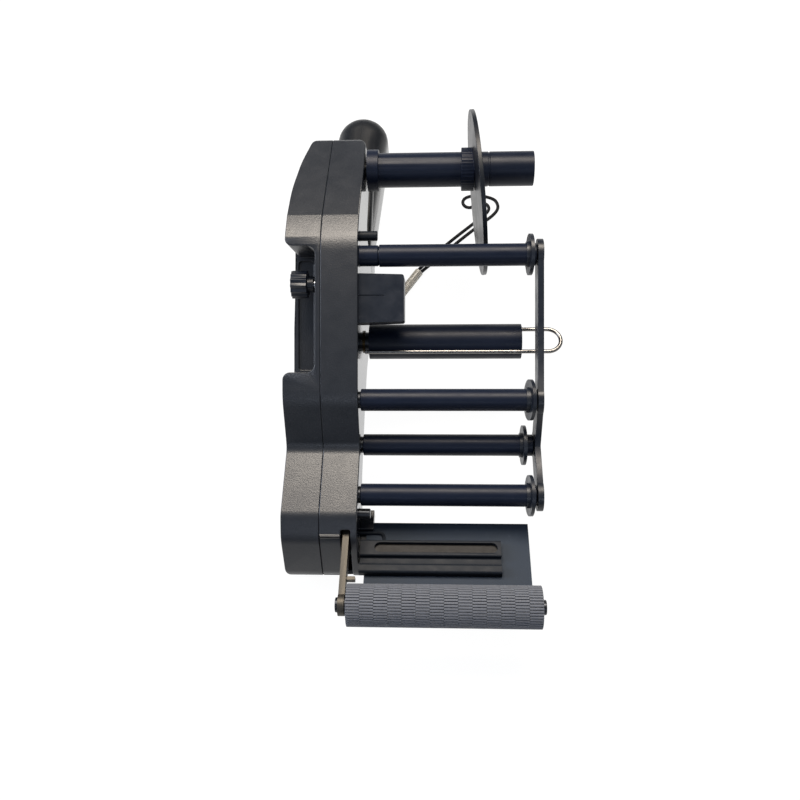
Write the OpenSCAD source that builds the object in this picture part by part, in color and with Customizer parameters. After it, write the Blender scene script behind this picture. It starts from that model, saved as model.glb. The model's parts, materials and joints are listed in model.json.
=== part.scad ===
// Hand-held electric label applicator, lying on its back.
// Machine frame: X runs from the side wall along the rollers, u runs to the rear, v to the working side.
// lay() turns the machine frame about X, so that the heel of the nose and the grip stand on z = 0.

/* [Body] */
// Width of the two body shells together
body_w = 44; // [40:1:52]
// Wall thickness of the shells
wall_t = 2.4; // [1.8:0.1:3]
// Angle between the rim and the surface that the machine lies on
lay_angle = 25.6; // [24:0.1:27]
// Outer diameter of the bosses that hold the axles
boss_d = 10; // [9:0.5:10.5]
// Depth of the axle bosses behind the outer face of the wall
boss_depth = 14; // [12:0.5:16]
// Outer diameter of the screw posts
post_d = 7; // [6:0.5:8]

/* [Guide rollers] */
// Outer diameter of the guide rollers
roller_d = 13; // [11:0.5:14]
// Clear width between the wall and the outer bar
web_w = 103.5; // [80:0.5:120]
// Diameter of the fixed axles
axle_d = 6; // [5:0.5:7]
// Diameter of the edge discs
edge_disc_d = 24; // [20:1:26]
// Thickness of the edge discs
edge_disc_t = 2; // [1.5:0.1:2.5]
// Length of the hub of an edge disc
edge_hub_len = 1.5; // [1:0.5:4]
// Thickness of the outer bar
bar_t = 3.5; // [2.5:0.5:5]
// Width of the outer bar
bar_w = 15; // [12:1:18]
// Diameter of the round pads of the outer bar
pad_d = 18; // [16:1:20]
// Length of the moulded spigot at the first roller
spigot_len = 11.5; // [6:0.5:16]

/* [Label supply] */
// Diameter of the spindle that takes the label core
spindle_d = 21.6; // [18:0.2:24]
// Free length of the spindle beyond its flange
spindle_len = 98.6; // [80:0.2:110]
// Diameter of the flange at the wall
flange_d = 26; // [24:0.5:30]
// Length of the flange at the wall
flange_len = 7.2; // [5:0.2:10]
// Diameter of the fixed supply axle
supply_axle_d = 8; // [6:0.5:9]
// Radius of the retaining disc
disc_r = 51.5; // [40:0.5:55]
// Thickness of the retaining disc
disc_t = 2.6; // [1.6:0.1:3]
// Distance of the disc's centre from the spindle axis
disc_offset = 16; // [0:0.5:17]
// Lean of the disc on its hub
disc_lean = 5.2; // [0:0.1:5.5]
// Place of the disc's hub along the spindle
disc_x = 61; // [40:1:70]
// Diameter of the disc's hub
hub_d = 27; // [26:0.5:32]
// Length of the disc's hub
hub_len = 8; // [6:0.5:10]

/* [Rewind] */
// Diameter of the rewind core
core_d = 21.6; // [20:0.2:24]
// Length of the rewind core
core_len = 94; // [70:1:96]
// Wire diameter of the liner clip
wire_d = 2.5; // [2:0.1:3]
// Distance that the clip's bow stands out beyond the core
bow_out = 16; // [14:0.5:24]
// Diameter of the rewind shaft
shaft_d = 6; // [5:0.5:7]

/* [Drive] */
// Gear module
gear_m = 1; // [0.8:0.1:1]
// Teeth on the rewind gear
gear_teeth = 36; // [30:1:38]
// Teeth on the motor pinion
pinion_teeth = 16; // [14:1:18]
// Face width of the gears
gear_w = 6.5; // [4:0.5:7]
// Diameter of the drive motor
motor_d = 28; // [24:1:28]
// Length of the drive motor
motor_len = 19; // [15:1:20]
// Thickness of the drive frame plate
frame_t = 1.5; // [1:0.1:2]

/* [Press roller] */
// Outer diameter of the rubber rings
press_d = 23.2; // [21:0.2:25]
// Number of rubber rings
ring_count = 14; // [8:1:16]
// Teeth round each ring
ring_teeth = 44; // [30:1:50]
// Diameter of the core under the rings
press_core_d = 16; // [13:0.5:18]
// Diameter of the press axle
press_axle_d = 6.5; // [6:0.5:8]
// Thickness of the press arm
arm_t = 3.6; // [2.5:0.1:4]
// Width of the press arm
arm_w = 8; // [7.5:0.5:9]
// Wire diameter of the arm's torsion spring
spring_wire = 1; // [0.8:0.1:1.2]

/* [Peel plate] */
// Thickness of the peel plate
plate_t = 1.5; // [1:0.1:2]
// Width of the peel plate along the rollers
plate_w = 96.7; // [70:0.1:100]
// Length of the peel plate from its rear edge to the peel edge
plate_len = 48; // [44:0.5:49]
// Length of the sensor bar
sensor_len = 82.5; // [60:0.5:90]

/* [Side details] */
// Reach of the box on the wall
box_x = 26.5; // [20:0.5:30]
// Length of the box along the body
box_len = 29; // [20:0.5:30]
// Diameter of the speed knob
knob_d = 17; // [14:0.5:19]
// Length of the speed knob
knob_len = 9.6; // [8:0.2:10]
// Width of the corner that is cut away for the knob
notch_w = 19; // [17:0.5:20]

/* [Grip] */
// Width of the grip
grip_w = 37.5; // [34:0.5:40]
// Height of the grip
grip_h = 39; // [36:0.5:41]
// Length of the grip from the neck to its round end
grip_len = 135; // [120:1:150]
// Sideways turn of the grip towards the rollers
grip_yaw = 5; // [0:0.5:6]
// Wall thickness of the grip
grip_wall = 2.6; // [2:0.1:3]
// Width of the start button
button_w = 9.4; // [7:0.2:11]
// Length of the start button
button_len = 15.4; // [12:0.2:18]
// Travel of the start button
button_travel = 2.5; // [1.5:0.1:3]
// Diameter of the battery cells
cell_d = 14.2; // [13.5:0.1:14.4]
// Length of one battery cell
cell_len = 50; // [44:0.5:50]

/* [Wrist cord] */
// Diameter of the wrist cord
cord_d = 2.4; // [1.6:0.1:2.6]

/* [Clearances] */
// Radial gap of running fits
run_fit = 0.05; // [0.02:0.01:0.1]
// Radial gap of seated pieces
seat_fit = 0.02; // [0.01:0.01:0.05]
// Gap between parts that slide or turn past each other
clear = 0.3; // [0.2:0.05:0.5]

/* [Hidden] */
$fn = 48;

// Places in the machine frame: [u, v]
heel = [-101, -30];
heel_flat = 8;
roller_at = [[84.7, -9], [0, -9], [-27.3, -26], [-55.7, -9]];
roller_start = [spigot_len + clear, 1.1, 1.1, 1.1];
disc_inset = [2.3, 2.3, 4.5, 2.3];
supply_at = [148, -55];
rewind_at = [36.5, -41];
pivot_at = [-67, -10];
press_at = [-112.5, 23];
plate_rear = [-74.4, -23.7];
plate_angle = 141.53;
knob_at = [69.4, -18];
stub_at = [97, -12];
box_at = [45, -5];
post_at = [[-92, -25], [-40, -20], [4, -34], [34, -66], [124, -48], [103, -24]];
notch_u = [16, 89.5];
notch_floor = -38;
neck_y = 122;
neck_z = 1;
gap_top = 66;
rear_y = 178;
rear_z = 92.9;

// Places that follow from the sizes above
seam_x = -body_w / 2;
inner_x = -wall_t;
lift = -(heel[0] * sin(lay_angle) + heel[1] * cos(lay_angle));
grip_x = seam_x + 1.3;
grip_face_mid = 62;
origin_y = neck_y + grip_face_mid;
bar_x = web_w;
roller_end = web_w - 0.4;
collar_t = 0.8;
frame_x = -boss_depth;
gear_dist = gear_m * (gear_teeth + pinion_teeth) / 2;
gear_dir = -35;
motor_at = rewind_at + gear_dist * [cos(gear_dir), sin(gear_dir)];
gear_x = -4.7 - gear_w;
arm_x = -8.4;
press_x0 = -3.4;
press_x1 = web_w - 1;
plate_x = 3.3;
plate_dir = [cos(plate_angle), sin(plate_angle)];
plate_out = [sin(plate_angle), -cos(plate_angle)];

// Helper functions

// Machine place of a point given along the floor and above it
function on_floor(y, z) = [
    y * cos(lay_angle) + (z - lift) * sin(lay_angle),
    -y * sin(lay_angle) + (z - lift) * cos(lay_angle)
];
function unit(p) = p / norm(p);
function left_of(p) = [-p[1], p[0]];
function wrap(a) = a > 180 ? a - 360 : a < -180 ? a + 360 : a;
function xy(p) = [p[0], p[1]];

// Arc of radius r in the corner q between p and s
function corner(p, q, s, r) =
    let (a = unit(p - q), b = unit(s - q))
    let (half = acos(a * b) / 2)
    let (room = 0.48 * min(norm(p - q), norm(s - q)))
    let (rr = min(r, room * tan(half)))
    let (c = q + unit(a + b) * rr / sin(half))
    let (t0 = q + a * rr / tan(half) - c, t1 = q + b * rr / tan(half) - c)
    let (a0 = atan2(t0[1], t0[0]), sweep = wrap(atan2(t1[1], t1[0]) - a0))
    let (n = max(3, ceil(abs(sweep) / 12)))
    [for (i = [0:n]) c + rr * [cos(a0 + sweep * i / n), sin(a0 + sweep * i / n)]];

// Outline with a radius at each corner, from a list of [a, b, radius]
function rounded(pts) =
    let (n = len(pts))
    [for (i = [0:n - 1])
        let (a = xy(pts[(i + n - 1) % n]), b = xy(pts[(i + 1) % n]))
        each corner(a, xy(pts[i]), b, pts[i][2])];

// The same list moved inwards by t
function inset(pts, t) =
    let (n = len(pts))
    [for (i = [0:n - 1])
        let (d0 = unit(xy(pts[i]) - xy(pts[(i + n - 1) % n])))
        let (d1 = unit(xy(pts[(i + 1) % n]) - xy(pts[i])))
        let (n0 = left_of(d0), n1 = left_of(d1))
        let (turn = d0[0] * d1[1] - d0[1] * d1[0])
        let (q = xy(pts[i]) + t * (n0 + n1) / (1 + n0 * n1))
        [q[0], q[1], turn > 0 ? max(pts[i][2] - t, 0.4) : pts[i][2] + t]];

function box_pts(x0, x1, y0, y1, r) = [[x0, y0, r], [x1, y0, r], [x1, y1, r], [x0, y1, r]];

// Involute gear outline
function inv_deg(a) = tan(a) * 180 / PI - a;
function gear_half(z, rp, rb, r) =
    90 / z - 0.09 * 180 / PI / rp + inv_deg(20) - inv_deg(r > rb ? acos(rb / r) : 0);
function gear_pts(z) =
    let (rp = gear_m * z / 2, rb = rp * cos(20), ra = rp + 0.85 * gear_m, rr = rp - 1.25 * gear_m)
    let (radii = [rr, max(rb, rr + 0.05), rp, ra])
    [for (k = [0:z - 1], side = [-1, 1], i = [0:3])
        let (r = radii[side < 0 ? i : 3 - i])
        let (a = k * 360 / z + side * gear_half(z, rp, rb, r))
        r * [cos(a), sin(a)]];

// Outline with teeth that run between two radii
function toothed(z, r0, r1) = [for (k = [0:2 * z - 1])
    let (a = k * 180 / z)
    (k % 2 == 0 ? r1 : r0) * [cos(a), sin(a)]];

// Points of a smooth curve through a list of places
function spline_at(p, i, t) =
    let (n = len(p) - 1)
    let (a = p[max(i - 1, 0)], b = p[i], c = p[min(i + 1, n)], d = p[min(i + 2, n)])
    0.5 * (2 * b + (c - a) * t + (2 * a - 5 * b + 4 * c - d) * t * t + (3 * b - a - 3 * c + d) * t * t * t);
function spline(p, steps) = concat(
    [for (i = [0:len(p) - 2], k = [0:steps - 1]) spline_at(p, i, k / steps)], [p[len(p) - 1]]);

// Body outline in the machine frame: [u, v, corner radius]
heel_end = heel + heel_flat * [cos(lay_angle), -sin(lay_angle)];
neck_foot = on_floor(104, neck_z);
neck_low = on_floor(neck_y, neck_z);
gap_corner = on_floor(neck_y, gap_top);
rear_low = on_floor(rear_y, gap_top);
rear_top = on_floor(rear_y, rear_z);
body_pts = [
    [heel[0], heel[1], 3], [heel_end[0], heel_end[1], 4], [-49, -26, 12], [-8, -44, 40], [20, -60, 40],
    [45, -90, 40], [neck_foot[0], neck_foot[1], 20], [neck_low[0], neck_low[1], 1],
    [gap_corner[0], gap_corner[1], 9], [rear_low[0], rear_low[1], 9], [rear_top[0], rear_top[1], 5],
    [136, -29.5, 4], [109, -8, 3], [93, 0, 30], [0, 0, 25], [-28.5, -13.5, 8], [-66, 6, 10], [-80, 5, 16],
    [-105.5, -11.5, 8]
];

// Placement modules

// From the machine frame to the part's own frame
module lay() {
    translate([-seam_x, -origin_y, lift]) rotate([lay_angle, 0, 0]) children();
}

// From distances along the floor to the part's own frame
module on_surface() {
    translate([-seam_x, -origin_y, 0]) children();
}

// Extrudes an outline drawn in u and v along X
module along_x(x0, x1) {
    translate([x0, 0, 0]) rotate([90, 0, 90]) linear_extrude(x1 - x0) children();
}

// Round bar along X at a place in u and v
module rod(x0, x1, d, at) {
    translate([x0, at[0], at[1]]) rotate([0, 90, 0]) cylinder(d = d, h = x1 - x0);
}

// Tube along X
module pipe(x0, x1, d, bore, at) {
    difference() {
        rod(x0, x1, d, at);
        rod(x0 - 1, x1 + 1, bore, at);
    }
}

// Strip of a given width between two places
module strip(a, b, w) {
    translate(a) rotate(atan2(b[1] - a[1], b[0] - a[0])) translate([0, -w / 2]) square([norm(b - a), w]);
}

// Turns a drawing to stand along the peel plate: x runs to the peel edge, y out of its face
module on_plate() {
    translate(plate_rear) rotate(plate_angle) mirror([0, 1]) children();
}

// Swept tube along points; ref is a direction that the path never follows
module tube(pts, d, sides, ref) {
    n = len(pts);
    tangent = [for (i = [0:n - 1]) unit(pts[min(i + 1, n - 1)] - pts[max(i - 1, 0)])];
    rings = [for (i = [0:n - 1])
        let (a = unit(cross(tangent[i], ref)), b = cross(a, tangent[i]))
        for (k = [0:sides - 1])
            pts[i] + d / 2 * (cos(360 * k / sides) * a + sin(360 * k / sides) * b)];
    quads = [for (i = [0:n - 2], k = [0:sides - 1])
        [i * sides + k, i * sides + (k + 1) % sides,
         (i + 1) * sides + (k + 1) % sides, (i + 1) * sides + k]];
    walls = [for (q = quads, t = [[q[0], q[1], q[2]], [q[0], q[2], q[3]]]) t];
    caps = [for (k = [1:sides - 2], t = [[0, k + 1, k],
        [(n - 1) * sides, (n - 1) * sides + k, (n - 1) * sides + k + 1]]) t];
    polyhedron(points = rings, faces = concat(walls, caps));
}

// Body shells

// Cut of the corner in which the knob lies, grown by g
module notch(g) {
    reach = body_w;
    translate([0, 0, notch_floor - g])
        linear_extrude(reach)
            polygon(rounded(box_pts(
                -body_w - reach, -body_w + notch_w + g, notch_u[0] - g, notch_u[1] + g, 5)));
}

// The same cut with a mouth whose corners are rounded
module notch_cut() {
    reach = body_w;
    inner = -body_w + notch_w;
    low = -body_w - mouth_over;
    high = -body_w + plan_inset - mouth_over;
    translate([0, 0, notch_floor])
        linear_extrude(reach)
            polygon(rounded([
                [low - reach, notch_u[0] - 20, 0.1], [low, notch_u[0] - 20, 0.1], [low, notch_u[0], mouth_r],
                [inner, notch_u[0], 5], [inner, notch_u[1], 5], [high, notch_u[1], mouth_r],
                [high, notch_u[1] + 20, 0.1], [low - reach, notch_u[1] + 20, 0.1]
            ]));
}

// Shallow pan in the floor of the notch, with a lip round it
pan_depth = 1.2;
pan_x = [3, 12.5];
pan_lip = 2.6;

module notch_pan() {
    translate([0, 0, notch_floor - pan_depth])
        linear_extrude(pan_depth + 1)
            polygon(rounded(box_pts(-body_w + pan_x[0], -body_w + pan_x[1],
                notch_u[0] + pan_lip, notch_u[1] - pan_lip, 2)));
}

mouth_r = 4.5;
mouth_over = 0.05;
// The rear half of the left face stands back by this much
plan_inset = 1.2;
tail_u = 169.3;

// Plan outline of the left shell, with its seam side at s: [X, u, corner radius]
function plan_pts(s) = [
    [s, -105.6, 0.1], [s, tail_u, 0.1], [-body_w + 9.5, tail_u, 6], [-body_w + 4.2, 150, 80],
    [-body_w + plan_inset, 128, 100], [-body_w + plan_inset, 88, 1], [-body_w, 45, 1], [-body_w, -105.6, 6]
];

// The same for the right shell, which has one round corner at its rear end
right_plan = [[seam_x, -120, 0.1], [0, -120, 0.1], [0, tail_u, 7], [seam_x, tail_u, 0.1]];

// Solid above and below a plan outline
module in_plan(pts) {
    depth = 400;
    translate([0, 0, -depth / 2]) linear_extrude(depth) polygon(rounded(pts));
}

// Charging socket place, on the lower side of the left shell
socket_at = on_floor(44, 38);
socket_d = 8;
socket_len = 12;
jack_d = 5.6;
jack_depth = 9;

// Circuit board place along the floor
board_y = [92, 118];
board_z = [12, 56];
board_x = -body_w + wall_t + 1.6;
board_t = 1.6;
board_holes = [for (y = [board_y[0] + 4, board_y[1] - 4])
    for (z = [board_z[0] + 4, board_z[1] - 4]) on_floor(y, z)];

// Screws that hold the grip, one in each half
grip_screw_z = 20;
grip_screw_dx = 9;
grip_screw_d = 3;

module grip_screw_rods(d, y0, y1) {
    for (s = [-1, 1])
        translate([grip_x + s * grip_screw_dx, y0, grip_screw_z])
            rotate([-90, 0, 0]) cylinder(d = d, h = y1 - y0);
}

// From distances along the floor to the machine frame
module in_machine() {
    rotate([-lay_angle, 0, 0]) translate([0, 0, -lift]) children();
}

screw_d = 3;
screw_head_d = 5.6;
screw_head_h = 2;
// Posts start inside the left wall, and the screw heads lie sunk in them
post_x = -body_w + 2;
head_x = -body_w + 1.5;
pin_left = seam_x - 4;
pin_out = 6.5;
arm_pin_d = 6;

module left_cover() {
    color("#26272a") lay() difference() {
        union() {
            difference() {
                intersection() {
                    along_x(-body_w, seam_x) polygon(rounded(body_pts));
                    in_plan(plan_pts(seam_x));
                }
                intersection() {
                    along_x(-body_w + wall_t, seam_x + 1) polygon(rounded(inset(body_pts, wall_t)));
                    in_plan(inset(plan_pts(seam_x + 10), wall_t));
                }
            }
            intersection() {
                along_x(-body_w + 0.2, seam_x) polygon(rounded(inset(body_pts, 0.2)));
                notch(wall_t);
                in_plan(inset(plan_pts(seam_x + 10), 0.2));
            }
            for (p = post_at) rod(post_x, seam_x, post_d, p);
            for (p = board_holes) {
                rod(post_x, board_x, 5, p);
                rod(board_x - 0.5, board_x + board_t + 1, 2.4, p);
            }
            rod(post_x, seam_x + 2, boss_d, pivot_at);
        }
        notch_cut();
        notch_pan();
        for (p = post_at) {
            rod(-body_w - 1, head_x + screw_head_h, screw_head_d + 0.4, p);
            rod(-body_w, seam_x + 1, screw_d + 2 * seat_fit, p);
        }
        rod(pin_left - 1, seam_x + 3, arm_pin_d + 2 * seat_fit, pivot_at);
        rod(-body_w - 1, seam_x, shaft_hole_d, knob_at);
        rod(-body_w - 1, -body_w + wall_t + 1, socket_d + 2 * seat_fit, socket_at);
        in_machine() grip_screw_rods(grip_screw_d + 2 * seat_fit, neck_y - 8, neck_y + 1);
    }
}

slot_u = -74.4;
slot_v = -17;
slot_x = [arm_x - 1, arm_x + arm_t + 0.8];
slot_reach = 60;
// The front of the right shell, beside the slot, stands a little lower
step_u = -79;
step_v = -15;
step_depth = 0.6;
shaft_hole_d = 7;
bush_d = 10;
bush_in = -4.2;

module right_cover() {
    color("#2a2b2e") lay() difference() {
        union() {
            difference() {
                intersection() {
                    along_x(seam_x, 0) polygon(rounded(body_pts));
                    in_plan(right_plan);
                }
                along_x(seam_x - 1, inner_x) polygon(rounded(inset(body_pts, wall_t)));
            }
            for (p = roller_at) rod(frame_x, inner_x + 0.5, boss_d, p);
            rod(frame_x, inner_x + 0.5, supply_axle_d + 6, supply_at);
            rod(frame_x, inner_x + 0.5, boss_d, stub_at);
            for (p = post_at) rod(seam_x, inner_x + 0.5, post_d, p);
            rod(-0.5, spigot_len, roller_d - 0.8, roller_at[0]);
        }
        for (p = roller_at) rod(frame_x - 1, spigot_len + 1, axle_d + 2 * seat_fit, p);
        rod(frame_x - 1, 1, supply_axle_d + 2 * seat_fit, supply_at);
        rod(frame_x - 1, 1, stub_d + 2 * seat_fit, stub_at);
        rod(bush_in - 1, 1, bush_d + 2 * seat_fit, rewind_at);
        rod(seam_x, 1, arm_pin_d + 2 * seat_fit, pivot_at);
        for (p = post_at) rod(seam_x - 1, inner_x - 4, screw_d + 2 * seat_fit, p);
        for (p = frame_screw_at) rod(frame_x - 1, inner_x - 1, frame_screw_d + 2 * seat_fit, p);
        for (p = bracket_screw_at) rod(inner_x - 1, 1, screw_d + 2 * seat_fit, p);
        translate([slot_x[0], slot_u - slot_reach, slot_v])
            cube([slot_x[1] - slot_x[0], slot_reach, slot_reach]);
        along_x(seam_x - 1, slot_x[0] + 0.5) difference() {
            translate([step_u - slot_reach, step_v]) square([slot_reach, slot_reach]);
            polygon(rounded(inset(body_pts, step_depth)));
        }
        in_machine() grip_screw_rods(grip_screw_d + 2 * seat_fit, neck_y - 8, neck_y + 1);
    }
}

// Screws from the left into the posts of the right shell
module shell_screws() {
    color("silver") lay() for (p = post_at) {
        rod(head_x, head_x + screw_head_h, screw_head_d, p);
        rod(head_x + 1, inner_x - 4.5, screw_d, p);
    }
}

// Drive

frame_screw_d = 2.5;
frame_screw_at = [roller_at[1], roller_at[0]];
frame_outline = [
    [-8, -17, 4], [20, -50, 6], [44, -74, 8], [76, -74, 8], [91, -22, 6], [91, -3.8, 4],
    [3, -3.8, 3], [-7, -8, 3]
];

module frame_plate() {
    color("#a9adb2") lay() difference() {
        along_x(frame_x - frame_t, frame_x) polygon(rounded(frame_outline));
        rod(frame_x - 5, frame_x + 1, bush_d - 1 + 2 * seat_fit, rewind_at);
        rod(frame_x - 5, frame_x + 1, 9, motor_at);
        for (p = frame_screw_at) rod(frame_x - 5, frame_x + 1, frame_screw_d + 2 * seat_fit, p);
        for (p = post_at) rod(frame_x - 5, frame_x + 1, post_d + 2 * clear, p);
        rod(frame_x - 5, frame_x + 1, pot_d + 2 * clear, knob_at);
    }
}

// Screws that hold the frame plate against the axle bosses, into the ends of the axles
module frame_screws() {
    color("silver") lay() for (p = frame_screw_at) {
        rod(frame_x - frame_t - 1.6, frame_x - frame_t, 5, p);
        rod(frame_x - frame_t - 0.5, frame_x + 0.6, frame_screw_d, p);
    }
}

module motor() {
    color("#8f9398") lay() difference() {
        union() {
            rod(frame_x - frame_t - motor_len, frame_x - frame_t, motor_d, motor_at);
            rod(frame_x - frame_t - motor_len - 1.5, frame_x - frame_t - motor_len + 1, 10, motor_at);
        }
        rod(frame_x - frame_t - 8, frame_x, 4.2, motor_at);
    }
}

module motor_pinion() {
    color("#d8c27a") lay() {
        translate([gear_x, motor_at[0], motor_at[1]])
            rotate([90, 0, 90])
                rotate(gear_dir + 180 + 180 / pinion_teeth)
                    linear_extrude(gear_w) polygon(gear_pts(pinion_teeth));
        rod(frame_x - frame_t - 7, gear_x + 1, 4, motor_at);
    }
}

module rewind_gear() {
    color("#e6e2d4") lay() difference() {
        union() {
            translate([gear_x, rewind_at[0], rewind_at[1]])
                rotate([90, 0, 90]) rotate(gear_dir) linear_extrude(gear_w) polygon(gear_pts(gear_teeth));
            rod(frame_x + 0.2, gear_x + 1, 11, rewind_at);
        }
        rod(frame_x - 1, 0, shaft_d + 2 * seat_fit, rewind_at);
    }
}

core_x0 = 3.5;
core_x1 = core_x0 + core_len;
shaft_left = frame_x - frame_t - 3.5;

module rewind_shaft() {
    color("#c9ccd0") lay() {
        rod(shaft_left, core_x1 - 3, shaft_d, rewind_at);
        rod(collar_t + 0.2, core_x0, 12, rewind_at);
    }
}

// Flanged bush pressed into the wall
module rewind_bush() {
    color("#b08a45") lay() difference() {
        union() {
            rod(bush_in, collar_t, bush_d, rewind_at);
            rod(0, collar_t, bush_d + 4, rewind_at);
        }
        rod(bush_in - 1, 2, shaft_d + 2 * run_fit, rewind_at);
    }
}

// Flanged bush in the frame plate
module frame_bush() {
    color("#b08a45") lay() difference() {
        union() {
            rod(shaft_left, frame_x, bush_d - 1, rewind_at);
            rod(shaft_left, frame_x - frame_t, bush_d + 3, rewind_at);
        }
        rod(shaft_left - 1, frame_x + 1, shaft_d + 2 * run_fit, rewind_at);
    }
}

// Wire clip legs, measured from the rewind axis
leg_low = [-6.8, 8];
leg_high = [7.4, 0];
// The bow is a little thicker than the legs, which end just inside it
bow_lap = 0.3;
bow_swell = 0.04;
groove_gap = 0.15;

module rewind_core() {
    color("#1b1c1f") lay() difference() {
        union() {
            pipe(core_x0, core_x1, core_d, core_d - 4, rewind_at);
            rod(core_x0, core_x0 + 6, core_d - 2, rewind_at);
            rod(core_x1 - 16, core_x1, core_d - 2, rewind_at);
            intersection() {
                rod(core_x0, core_x1, core_d, rewind_at);
                rod(core_x0, core_x1, wire_d + 4.5, rewind_at + leg_low);
            }
        }
        rod(core_x0 - 1, core_x1 + 1, shaft_d + 2 * seat_fit, rewind_at);
        rod(core_x0 - 1, core_x1 + 1, wire_d + 2 * groove_gap, rewind_at + leg_low);
        rod(core_x1 - 40, core_x1 + 1, wire_d + 2 * groove_gap, rewind_at + leg_high);
    }
}

module wire_clip() {
    bow_r = norm(leg_high - leg_low) / 2;
    bow_mid = rewind_at + (leg_high + leg_low) / 2;
    bow_x = core_x1 + bow_out;
    lean = atan2((leg_high - leg_low)[1], (leg_high - leg_low)[0]);
    color("#d6d8da") lay() {
        rod(1.2, bow_x + bow_lap, wire_d, rewind_at + leg_low);
        rod(core_x1 - 12, bow_x + bow_lap, wire_d, rewind_at + leg_high);
        translate([bow_x, bow_mid[0], bow_mid[1]])
            rotate([lean, 0, 0])
                rotate([0, 0, -90])
                    rotate_extrude(angle = 180) translate([bow_r, 0]) circle(d = wire_d + bow_swell);
    }
}

// Label supply

spindle_x1 = collar_t + 0.2 + flange_len + spindle_len;
clip_x = spindle_x1 - 5.5;
// Ring groove that marks the free end of the spindle: place, width and depth
mark_x = 78;
mark_w = 1;
mark_depth = 0.4;

module supply_axle() {
    color("#b9bcc0") lay() {
        rod(frame_x + 0.5, clip_x + 3, supply_axle_d, supply_at);
        rod(0, collar_t, supply_axle_d + 4, supply_at);
    }
}

// Ring that keeps the spindle on its axle
module axle_clip() {
    color("#55585c") lay()
        pipe(clip_x, clip_x + 1.2, supply_axle_d + 5, supply_axle_d + 2 * seat_fit, supply_at);
}

module supply_spindle() {
    x0 = collar_t + 0.2;
    color("#1b1c1f") lay() difference() {
        union() {
            rod(x0, x0 + flange_len, flange_d, supply_at);
            pipe(x0 + 1, spindle_x1, spindle_d, spindle_d - 4, supply_at);
            rod(clip_x - 6, clip_x - 0.2, spindle_d - 2, supply_at);
        }
        rod(-1, spindle_x1 + 1, supply_axle_d + 2 * run_fit, supply_at);
        pipe(mark_x, mark_x + mark_w, spindle_d + 2, spindle_d - 2 * mark_depth, supply_at);
    }
}

slide_fit = 0.1;

module supply_disc() {
    flutes = 40;
    color("#17181a") lay() difference() {
        union() {
            translate([disc_x, supply_at[0], supply_at[1]])
                rotate([90, 0, 90])
                    linear_extrude(hub_len) polygon(toothed(flutes, hub_d / 2 - 0.3, hub_d / 2));
            translate([disc_x + hub_len + disc_t / 2 - 0.4, supply_at[0], supply_at[1]])
                rotate([0, 0, disc_lean])
                    translate([-disc_t / 2, -disc_offset, 0])
                        rotate([0, 90, 0]) cylinder(r = disc_r, h = disc_t, $fn = 96);
        }
        rod(disc_x - 20, disc_x + hub_len + 20, spindle_d + 2 * slide_fit, supply_at);
    }
}

// Guide rollers

module guide_axles() {
    color("#c9ccd0") lay() for (i = [0:3]) difference() {
        union() {
            rod(frame_x + 1, bar_x, axle_d, roller_at[i]);
            rod(i == 0 ? spigot_len : 0, (i == 0 ? spigot_len : 0) + (i == 0 ? 0.2 : collar_t), axle_d + 4,
                roller_at[i]);
        }
        rod(bar_x - 9, bar_x + 1, screw_d + 2 * seat_fit, roller_at[i]);
    }
}

module guide_roller(i) {
    color("#191b20") lay() pipe(roller_start[i], roller_end, roller_d, axle_d + 2 * run_fit, roller_at[i]);
}

module guide_roller_1() {
    guide_roller(0);
}

module guide_roller_2() {
    guide_roller(1);
}

module guide_roller_3() {
    guide_roller(2);
}

module guide_roller_4() {
    guide_roller(3);
}

edge_hub_wall = 0.9;
// Each disc leans a little on its loose hub
edge_lean = [3, 8, 2, 5];

// Disc that guides the edge of the label web, on a short hub
module edge_disc(i) {
    x1 = roller_end - disc_inset[i];
    color("#17181a") lay() difference() {
        union() {
            translate([x1 - edge_disc_t / 2, roller_at[i][0], roller_at[i][1]])
                rotate([0, 90 + edge_lean[i], 0]) cylinder(d = edge_disc_d, h = edge_disc_t, center = true);
            rod(x1 - edge_disc_t - edge_hub_len, x1, roller_d + 2 * edge_hub_wall, roller_at[i]);
        }
        rod(x1 - 20, x1 + 1, roller_d + 2 * slide_fit, roller_at[i]);
    }
}

module edge_disc_1() {
    edge_disc(0);
}

module edge_disc_2() {
    edge_disc(1);
}

module edge_disc_3() {
    edge_disc(2);
}

module edge_disc_4() {
    edge_disc(3);
}

module outer_bar() {
    color("#1d1e21") lay() difference() {
        along_x(bar_x, bar_x + bar_t) {
            for (i = [0:2]) strip(roller_at[i], roller_at[i + 1], bar_w);
            for (p = roller_at) translate(p) circle(d = pad_d);
        }
        for (p = roller_at) {
            rod(bar_x - 1, bar_x + bar_t + 1, screw_d + 2 * seat_fit, p);
            rod(bar_x + bar_t - screw_head_h, bar_x + bar_t + 1, screw_head_d + 2 * seat_fit, p);
        }
    }
}

module bar_screws() {
    color("#3a3c40") lay() for (p = roller_at) {
        rod(bar_x + bar_t - screw_head_h, bar_x + bar_t, screw_head_d, p);
        rod(bar_x - 8, bar_x + bar_t - 1, screw_d, p);
    }
}

// Press roller

arm_dir = unit(press_at - pivot_at);
arm_hub_x = -12;
tab_from_axle = 14;

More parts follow.
